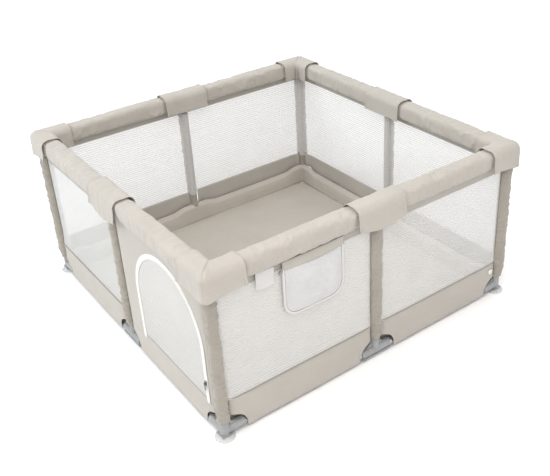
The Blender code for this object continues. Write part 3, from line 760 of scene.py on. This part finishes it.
CUT_STEPS = [0.0745, 0.0748, 0.0755, 0.0730, 0.0700, 0.0650, 0.0590, 0.0520]


def band_grid(near, far, top, seed):
    extra = [near - SLEEVE_EDGE + s for s in CUT_STEPS] + [far + SLEEVE_EDGE - s for s in CUT_STEPS]

    def place(k, u):
        low = max(cut_height(u - near + SLEEVE_EDGE), cut_height(far + SLEEVE_EDGE - u))
        z = low + (top - low) * (k**1.25)
        d = inset(u, near, far, CLOTH)
        ripple = 0.0011 * wave(u, 0, z, 14.0, seed) + 0.0004 * wave(u, 0, z, 55.0, seed)
        loose = 0.0028 * fade(z - low, 0.010) * (1 if low > HEM_Z + 0.001 else 0.25)
        lip = 0.0008 * bell(top - z, 0.004)
        return u, -(d + ripple + loose - lip), z

    return surface(steps(20), bay_columns(near, far, 34, extra), place)


def bay(turn, number, near, far):
    """One bay of the wall on one side: its band, net and hem strip, for u from near to far."""
    side = f"{SIDES[turn]}_{number}"
    seed = 40.0 + 3 * turn + number
    wide, place = far - near, quarter(turn)
    band = grid(f"bottom_band_{side}", band_grid(near, far, BAND_TOP, seed), BEIGE, matrix=place, flip=True)
    thicken(band, 0.0014, 1.0)
    dress(band)

    under = SLEEVE_EDGE - NET_EDGE

    def net_place(k, u):
        z = NET_LOW + (NET_HIGH - NET_LOW) * k
        t = (u - near + under) / (far - near + 2 * under)
        depth = NET_D + (CLOTH - 0.0014 - NET_D) * fade(z - NET_LOW, 0.035)
        d = inset(u, near - under, far + under, depth, NET_EDGE_D)
        d += 0.0022 * wave(u, 0, z, 7.0, seed) * math.sin(math.pi * k) * math.sin(math.pi * t)
        return u, -d, z

    P = surface(steps(44), bay_columns(near - under, far + under, 40), net_place)
    panel = grid(f"net_{side}", P, NET_WHITE, uv=P[:, :, ::2], matrix=place, flip=True)
    dress(panel)

    def strip_place(k, u):
        z = STRIP_LOW + (STRIP_TOP - STRIP_LOW) * k
        d = inset(u, near, far, NET_D + 0.0016)
        d += 0.0007 * wave(u, 0, z, 30.0, seed) + 0.0012 * bell(z - STRIP_LOW, 0.004)
        return u, -d, z + 0.0008 * wave(u, 0, 0, 26.0, seed)

    P = surface(steps(9), bay_columns(near, far, 40), strip_place)
    strip = grid(f"rail_hem_{side}", P, BEIGE, matrix=place, flip=True)
    thicken(strip, 0.0014)
    dress(strip)
    return band


def seam_line(near, far, z, depth, turn):
    along = np.linspace(near + 0.001, far - 0.001, 60)
    return [quarter(turn) @ Vector((u, -(inset(u, near, far, depth)), z)) for u in along]


def add_bays():
    welts, sewn, bands = [], [], []
    for turn in range(4):
        out = quarter(turn).to_3x3() @ Vector((0.0, -1.0, 0.0))
        for number, near, far in (
            (1, -AXIS + SLEEVE_EDGE, -SLEEVE_EDGE),
            (2, SLEEVE_EDGE, AXIS - SLEEVE_EDGE),
        ):
            seams = [(0.0190, CLOTH + 0.0016)]
            if turn or number == 1:  # the other one is the door's bay
                bands.append(bay(turn, number, near, far))
                welts.append(seam_line(near, far, BAND_TOP, CLOTH + 0.0006, turn))
                seams = [
                    (BAND_TOP - 0.0055, CLOTH + 0.0016),
                    (STRIP_LOW + 0.0045, NET_D + 0.0036),
                    (STRIP_LOW + 0.0155, NET_D + 0.0026),
                ]
            sewn += [(seam_line(near, far, z, depth, turn), out) for z, depth in seams]
    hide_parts("mesh_wall")
    tubes("band_welt", welts, 0.0012, BEIGE_DARK, 7)
    # a near-black tube along the door bay's edge by the mid post is painted shadow, for the dark gap between the
    # sleeve and the door bay
    heights = np.linspace(MID_FOOT_TOP + 0.008, STRIP_TOP - 0.004, 60)
    seam = [(SLEEVE_EDGE + 0.0010, -(EDGE_D + 0.0042), z) for z in heights]
    tubes("door_side_painted_shadow", [seam], 0.0014, PAINTED_GAP_SHADOW, 7)
    stitches("wall_stitches", sewn)


# ---- door bay


def arch_points(grow, turns=64, leg=18):
    """The door's outline with its legs, from the bottom left, over, to the bottom right."""
    r = ARCH_R + grow
    points = [(ARCH_X - r, SILL_Z + (SPRING_Z - SILL_Z) * i / leg) for i in range(leg)]
    for i in range(turns + 1):
        a = math.pi - math.pi * i / turns
        points.append((ARCH_X + r * math.cos(a), SPRING_Z + r * math.sin(a)))
    points += [(ARCH_X + r, SPRING_Z - (SPRING_Z - SILL_Z) * (i + 1) / leg) for i in range(leg)]
    return points


def add_door_surround():
    near, far = SLEEVE_EDGE, AXIS - SLEEVE_EDGE
    left, right, top = ARCH_X - near, far - ARCH_X, STRIP_TOP - SPRING_Z
    inner = arch_points(0.0)
    outer = []
    for x, z in inner:
        a = math.atan2(z - SPRING_Z, x - ARCH_X)
        if z <= SPRING_Z + 1e-9:
            outer.append((near if x < ARCH_X else far, z))
        elif a > math.atan2(top, -left):
            outer.append((near, SPRING_Z + left * math.tan(math.pi - a)))
        elif a < math.atan2(top, right):
            outer.append((far, SPRING_Z + right * math.tan(a)))
        else:
            outer.append((ARCH_X + top / math.tan(a), STRIP_TOP))
    share = [0.0, 0.03, 0.08, 0.15, 0.25, 0.37, 0.5, 0.63, 0.75, 0.84, 0.90, 0.94, 0.97, 0.99, 1.0]
    points = [
        (x0 + (x1 - x0) * k, z0 + (z1 - z0) * k) for k in share for (x0, z0), (x1, z1) in zip(inner, outer)
    ]
    faces = grid_faces(len(share), len(inner))
    # the cloth under the sill
    P = band_grid(near, far, SILL_Z, 61.0)
    faces += [f[::-1] for f in grid_faces(*P.shape[:2], offset=len(points))]
    points += [(p[0], p[2]) for p in P.reshape(-1, 3)]
    full = []
    for x, z in points:
        d = inset(x, near, far, CLOTH)
        d += 0.0010 * wave(x, 0, z, 12.0, 61.0) + 0.0003 * wave(x, 0, z, 50.0, 61.0)
        if z > 0.52:  # the top goes out over the rail's underside by the mid cover
            d += 0.0035 * ((z - 0.52) / 0.02) ** 2 * fade(max(0.0, 0.06 - (x - near)), 0.03)
        full.append((x, -d, z))
    obj = build("door_bay_cloth", full, faces, BEIGE)
    weld(obj, 0.0002)
    thicken(obj, 0.0014, 0.0)
    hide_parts("door_surround")
    dress(obj)


def ribbon(name, first, last, body):
    """A tape along the arch, between two offsets from the door's outline."""
    lines = []
    for t in steps(7):
        depth = CLOTH + 0.0012 + 0.0004 * math.sin(math.pi * t)
        lines.append([(x, -depth, z) for x, z in arch_points(first + (last - first) * t)])
    obj = grid(name, np.array(lines), WHITE_TAPE)
    thicken(obj, 0.0010)
    dress(obj, body)


def coil(name, grow, phase, body):
    """One side of a zip's coil: a rounded loop at each step along the arch."""
    line = [(x, -(CLOTH + 0.0021), z) for x, z in arch_points(grow)]
    verts, faces = [], []
    for place, way in zip(*walk(line, COIL_STEP)):
        # a loop reaches from its own tape over the zip's line
        across = np.array((way[2], 0.0, -way[0]))
        middle = np.array((ARCH_X, place[1], min(place[2], SPRING_Z)))
        if np.dot(across, place - middle) < 0:
            across = -across
        if body == DOOR:
            across = -across
        centre = place + way * phase * COIL_STEP
        add_prism(faces, len(verts), 4, 6)
        for part, thick in ((0.0, 0.9), (0.25, 1.0), (0.75, 1.0), (1.0, 0.75)):
            at = centre - across * 0.0030 * part + across * 0.0012
            for k in range(6):
                a = 2 * math.pi * k / 6
                forward = np.array((0, -1, 0)) * (0.00105 * thick * math.sin(a))
                verts.append(at + way * (0.00062 * thick * math.cos(a)) + forward)
    dress(build(name, verts, faces, WHITE_COIL), body)


def add_door():
    half = ARCH_R - 0.004
    top = SPRING_Z + half

    def place(z, t):
        width = half if z <= SPRING_Z else math.sqrt(max(0.0, half**2 - (z - SPRING_Z) ** 2))
        x = ARCH_X + width * t
        k = (z - SILL_Z) / (top - SILL_Z)
        belly = 0.0026 * wave(x, 0, z, 8.0, 71.0) * (1 - t * t) * math.sin(math.pi * k)
        return x, -(CLOTH + belly), z

    curve = [SPRING_Z + half * math.sin(math.pi / 2 * i / 22) for i in range(1, 22)]
    levels = [*np.linspace(SILL_Z + 0.003, SPRING_Z, 20), *curve, SPRING_Z + half * 0.9995]
    P = surface(levels, [2 * k - 1 for k in steps(41)], place)
    panel = grid("door_net", P, NET_WHITE, uv=P[:, :, ::2], flip=True)
    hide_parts("door_panel")
    dress(panel, DOOR)
    ribbon("zip_tape_door", -0.0030, -0.0030 - ZIP_TAPE, DOOR)
    ribbon("zip_tape_frame", ZIP_TAPE, 0.0, ROOT)
    coil("zip_coil_door", -0.0028, 0.0, DOOR)
    coil("zip_coil_frame", -0.0002, 0.5, ROOT)
    for name, grow, slot, body in (
        ("door_stitches_frame", ZIP_TAPE - 0.0014, "beige_cloth", ROOT),
        ("door_stitches_door", -0.0030 - ZIP_TAPE + 0.0012, "white_cloth", DOOR),
    ):
        line = [(x, -(CLOTH + 0.0019), z) for x, z in arch_points(grow)]
        stitches(name, [(line, (0.0, -1.0, 0.0))], body)
    # the hinge strip at the sill
    width = ARCH_R - 0.002
    P = surface(
        np.linspace(SILL_Z - 0.006, SILL_Z + 0.013, 16),
        np.linspace(ARCH_X - width, ARCH_X + width, 50),
        lambda z, x: (x, -(CLOTH + 0.0016 + 0.0003 * wave(x, 0, z, 60.0, 81.0)), z),
    )
    strip = grid("door_sill_strip", P, BEIGE, flip=True)
    start, end = ((ARCH_X, -CLOTH, SILL_Z + rise) for rise in (0.0005, 0.0055))
    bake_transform(strip)
    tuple(start)
    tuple(end)


# ---- floor mat


def add_mat():
    def place(y, x):
        # the corners are cut off
        over = max(0.0, abs(x) + abs(y) - (MAT_HALF + (MAT_HALF - MAT_CUT)))
        x -= math.copysign(over / 2, x)
        y -= math.copysign(over / 2, y)
        broad = 0.0022 * wave(x, y, 0, 3.2, 5.0) + 0.0014 * wave(x * 0.5, y * 2.0, 0, 9.0, 7.0)
        crease = 0.0016 * max(0.0, 1 - abs(wave(x, y, 0, 5.5, 9.0)) * 9)
        return x, y, 0.0042 + max(0.0, broad + 0.0012) + crease * 0.8

    values = np.linspace(-MAT_HALF, MAT_HALF, 90)
    obj = grid("floor_mat_cloth", surface(values, values, place), MAT_CLOTH)
    weld(obj, 0.0001)
    thicken(obj, 0.0016)
    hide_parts("floor_mat")
    dress(obj)


# (distance from the mat's edge, height) up the inner cloth over a bottom tube, and over a foot
SKIRT_ON_TUBE = np.array(
    ((0.0, 0.0046), (0.0040, 0.0110), (0.0058, 0.0250), (0.0130, 0.0400), (0.0230, 0.0455), (0.0335, 0.0520))
)
SKIRT_ON_FOOT = np.array(
    ((0.0, 0.0046), (0.0006, 0.0200), (0.0010, 0.0450), (0.0015, 0.0740), (0.0080, 0.0820), (0.0200, 0.0850))
)


def add_skirt():
    """Cloth that runs from the mat's edge over the bottom tubes and feet to the walls, all round."""

    def place(k, spot):
        turn, t = spot
        s = min(abs(t), 1 - abs(t)) * AXIS  # distance from the nearest post
        on_foot = 0.45 + 0.55 / (1 + math.exp((s - 0.082) / 0.010))
        at = np.linspace(0, 1, len(SKIRT_ON_TUBE))
        plain, raised = (
            [np.interp(k, at, line[:, n]) for n in range(2)] for line in (SKIRT_ON_TUBE, SKIRT_ON_FOOT)
        )
        d, z = [a + (b - a) * on_foot for a, b in zip(plain, raised)]
        d += MAT_HALF - 0.0006
        u = t * d
        ripple = 0.0013 * wave(u, 0.5 * z, turn, 22.0, 15.0) * math.sin(math.pi * k)
        z += 0.0010 * wave(u, z, turn, 30.0, 17.0) * k
        return tuple(quarter(turn) @ Vector((u, -(d + ripple), z)))

    stretches = ((-1, -0.83, 14), (-0.81, -0.17, 14), (-0.15, 0.15, 21), (0.17, 0.81, 14), (0.83, 1, 14))
    at = np.concatenate([np.linspace(*stretch) for stretch in stretches])[:-1]
    P = surface(steps(22), [(turn, t) for turn in range(4) for t in at], place)
    obj = grid("floor_skirt", P, MAT_CLOTH, wrap=True)
    thicken(obj, 0.0011, -1.0)
    dress(obj)


# ---- pocket, label, loop and press stud


def pocket_half(z):
    """Half width of the pocket at a height."""
    half = (pocket_high.y - pocket_low.y) / 2
    below = pocket_low.z + POCKET_ROUND - z
    if below <= 0:
        return half
    return half - POCKET_ROUND + math.sqrt(max(0.0, POCKET_ROUND**2 - below**2))


def add_pocket():
    top, low = pocket_high.z + 0.001, pocket_low.z
    centre = (pocket_low.y + pocket_high.y) / 2
    back = CLOTH + 0.0012

    def place(z, t):
        k = (top - z) / (top - low)
        y = centre + pocket_half(max(z, low + 1e-6)) * t
        side = 1 - abs(t) ** 3.2
        floor = 1 - k**5
        bulge = POCKET_DEPTH * side * floor * (0.55 + 0.45 * min(1.0, k * 3.0))
        fold = 0.0024 * wave(y * 0.9, 0, z * 1.6, 26.0, 91.0) + 0.0012 * wave(y, 0, z, 70.0, 91.0)
        droop = 0.004 * bell(t, 0.45) * fade(k, 0.05)
        return back + max(0.0004, bulge + fold * side * floor), y, z - droop

    levels = top - (top - low) * np.linspace(0, 1, 46) ** 0.92
    P = surface(levels, [2 * k - 1 for k in steps(48)], place)
    pouch = grid("pocket_cloth", P, POCKET_CLOTH)
    thicken(pouch, 0.0009)
    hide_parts("toy_pocket")
    dress(pouch)

    rim = np.concatenate([P[:, 0], P[-1, 1:], P[-2::-1, -1]])
    middle = np.array((0.0, centre, (top + low) / 2))
    profile = ((-0.0042, 0.0016), (-0.0036, 0.0026), (0.0, 0.0032), (0.0034, 0.0026), (0.0040, 0.0006))

    def binding_place(spot, n):
        grow, lift = spot
        p = rim[n]
        ahead = rim[min(n + 1, len(rim) - 1)] - rim[max(n - 1, 0)]
        out = np.array((0.0, ahead[2], -ahead[1])) / max(math.hypot(ahead[1], ahead[2]), 1e-9)
        if np.dot(out, p - middle) < 0:
            out = -out
        return np.array((back + lift, p[1], p[2])) + out * grow

    rings = surface(profile, range(len(rim)), binding_place)
    binding = grid("pocket_binding", rings, POCKET_TAPE)
    thicken(binding, 0.0010)
    dress(binding)
    tubes("pocket_welt", [rings[0] + np.array((0.0006, 0, 0))], 0.0009, GREY_CLOTH, 6)

    def mouth_place(k, t):
        y = centre + MOUTH_HALF * t
        x = back + 0.0022 + 0.0075 * (1 - abs((y - centre) / MOUTH_HALF) ** 3) * (1 - k) ** 0.6
        return x, y, top + 0.0275 * k - 0.003 * bell(y - centre, 0.06) * (1 - k)

    hem = grid("pocket_mouth_hem", surface(steps(11), [2 * k - 1 for k in steps(41)], mouth_place), BEIGE)
    thicken(hem, 0.0014)
    dress(hem)


def add_label_and_loop():
    rows, count = 16, 18
    tilt = math.radians(-4)

    def label_place(j, i):
        a = LABEL_WIDTH * (i / (count - 1) - 0.5)
        b = -LABEL_LENGTH * j / (rows - 1)
        curl = 0.004 * (j / (rows - 1)) ** 2 + 0.0022 * math.sin(3.0 * i / count + 0.6) * (j / rows)
        y = a * math.cos(tilt) - b * math.sin(tilt)
        z = a * math.sin(tilt) + b * math.cos(tilt)
        return CLOTH + 0.0030 + curl, LABEL_Y + y, LABEL_Z + z

    label = grid("blank_label", surface(range(rows), range(count), label_place), LABEL_CLOTH)
    thicken(label, 0.0006)
    dress(label)
    rows = 20

    def loop_place(j, i):
        a = math.pi * j / (rows - 1)
        x = CLOTH + 0.0032 + 0.00216 * (1 - math.cos(a))
        z = LOOP_Z - 0.012 * math.sin(a) ** 0.6 - 0.002 * j / rows
        return x, LOOP_Y + LOOP_WIDTH * (i / 4 - 0.5), z

    loop = grid("pocket_loop", surface(range(rows), range(5), loop_place), GREY_CLOTH)
    thicken(loop, 0.0010)
    dress(loop)


def add_stud():
    """Press stud on the band by the right corner: a rimmed cap with a dished middle."""
    middle = 0.0022
    profile = [
        (0.0040, middle), (0.0056, 0.0028), (0.0078, 0.0034), (0.0092, 0.0026), (0.0098, 0.0010), (0.0098, 0.0),
    ]  # fmt: skip
    sides = 36
    verts = [(0.0, 0.0, middle)]
    for r, h in profile:
        for k in range(sides):
            a = 2 * math.pi * k / sides
            verts.append((r * math.cos(a), r * math.sin(a), h))
    faces = [(0, 1 + k, 1 + (k + 1) % sides) for k in range(sides)]
    faces += grid_faces(len(profile), sides, wrap=True, offset=1)
    last = 1 + (len(profile) - 1) * sides
    faces.append(tuple(last + k for k in range(sides))[::-1])
    place = Matrix.Translation((CLOTH + 0.0022, STUD_Y, STUD_Z)) @ Matrix.Rotation(math.pi / 2, 4, "Y")
    obj = build("press_stud", verts, faces, WHITE_SNAP, matrix=place)
    bevel = obj.modifiers.new("edge", "BEVEL")
    bevel.width = 0.0003
    bevel.segments = 2
    dress(obj)


# ---- CAD parts that show


def finish_cad_parts():
    looks = {
        "steel": STEEL,
        "grey_plastic": GREY_PLASTIC,
        "clear_rubber": RUBBER,
        "zip_metal": ZIP_METAL,
    }
    for name, obj in NODES.items():
        for slot in obj.material_slots:
            key = slot.material.name.split(".")[0] if slot.material else ""
            slot.material = looks.get(key, BEIGE)
        if "foot" in name or name.startswith("zip"):
            bevel = obj.modifiers.new("edge", "BEVEL")
            bevel.width = 0.0009 if "foot" in name else 0.0003
            bevel.segments = 2
            bevel.limit_method = "ANGLE"
            bevel.angle_limit = math.radians(40)
            bevel.harden_normals = True


# ---- studio


def add_studio():
    half = 30
    floor = bpy.data.meshes.new("floor")
    corners = [(-half, -half, 0), (half, -half, 0), (half, half, 0), (-half, half, 0)]
    floor.from_pydata(corners, [], [(0, 1, 2, 3)])
    plane = bpy.data.objects.new("floor", floor)
    plane.location.z = -0.0005
    bpy.context.scene.collection.objects.link(plane)
    material, _, shader = new_material("studio_floor")
    set_inputs(shader, Base_Color=(0.93, 0.93, 0.93, 1.0), Roughness=0.9, Specular_IOR_Level=0.1)
    floor.materials.append(material)

    world = bpy.data.worlds.new("studio")
    world.use_nodes = True
    set_inputs(world.node_tree.nodes["Background"], Color=(1.0, 1.0, 1.0, 1.0), Strength=1.0)
    bpy.context.scene.world = world

    for name, place, aim, size, power, colour in (
        ("key", (-2.6, -4.4, 3.6), (0.0, 0.0, 0.3), 3.0, 145.0, (0.90, 0.975, 1.0)),
        ("top", (0.4, 0.2, 4.5), (0.0, 0.0, 0.3), 4.0, 40.0, (1.0, 0.985, 0.96)),
        ("fill", (4.2, -1.2, 3.2), (-0.3, 0.3, 0.5), 3.0, 36.0, (1.0, 0.94, 0.90)),
        ("inside", (1.3, -1.1, 2.3), (-0.62, 0.62, 0.55), 1.6, 22.0, (1.0, 0.92, 0.88)),
    ):
        lamp = bpy.data.lights.new(name, "AREA")
        lamp.shape = "DISK"
        lamp.size = size
        lamp.energy = power
        lamp.color = colour
        obj = bpy.data.objects.new(name, lamp)
        obj.location = place
        obj.rotation_euler = (Vector(aim) - Vector(place)).to_track_quat("-Z", "Y").to_euler()
        bpy.context.scene.collection.objects.link(obj)

    lens = bpy.data.cameras.new("camera")
    lens.sensor_width = 36.0
    lens.lens = 52.8
    lens.shift_x = -0.038
    lens.shift_y = -0.063
    camera = bpy.data.objects.new("camera", lens)
    camera.location = (2.213, -1.427, 1.792)
    camera.rotation_euler = [math.radians(a) for a in (60.91, 2.52, 53.54)]
    bpy.context.scene.collection.objects.link(camera)
    bpy.context.scene.camera = camera
    bpy.context.scene.view_settings.view_transform = "Standard"


finish_cad_parts()
add_pads()
add_covers()
add_sleeves()
add_bays()
add_door_surround()
add_door()
add_mat()
add_skirt()
add_pocket()
add_label_and_loop()
add_stud()
add_studio()
